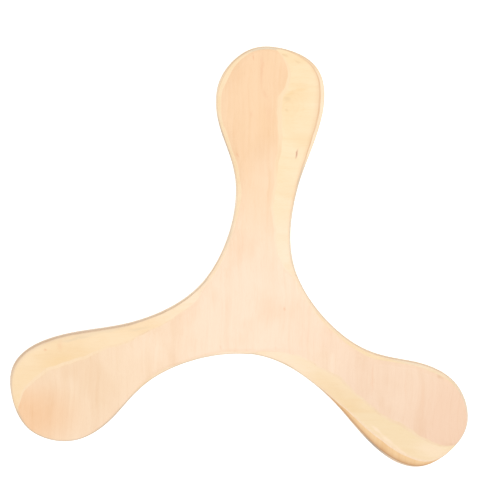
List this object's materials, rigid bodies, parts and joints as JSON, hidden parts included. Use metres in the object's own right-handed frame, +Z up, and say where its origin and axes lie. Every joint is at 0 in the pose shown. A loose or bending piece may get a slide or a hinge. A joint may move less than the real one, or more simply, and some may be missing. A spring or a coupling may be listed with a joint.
{
  "type": "boomerang",
  "caption": "Right-handed three-blade boomerang of laminated birch plywood, flat underneath, with rounded edges and a long bevel on each trailing edge.",
  "frame": {"origin": "middle of the hub, on the flat underside", "axes": "+Z up out of the shaped top face, +Y along the first blade, the other two blades at 120 and 240 degrees from it"},
  "size_m": [0.2614, 0.2343, 0.005],
  "materials": {
    "outer_veneer": "sanded birch, long grain, unvarnished",
    "cross_veneer": "sanded birch, cross grain, unvarnished",
    "core_veneer": "sanded birch, long grain, unvarnished",
    "glue": "cured brown phenolic resin film"
  },
  "bodies": {
    "root": {"face_veneer": "outer_veneer", "glue_film_1": "glue", "upper_crossband": "cross_veneer", "glue_film_2": "glue", "core_veneer": "core_veneer", "glue_film_3": "glue", "lower_crossband": "cross_veneer", "glue_film_4": "glue", "back_veneer": "outer_veneer"}
  },
  "joints": []
}
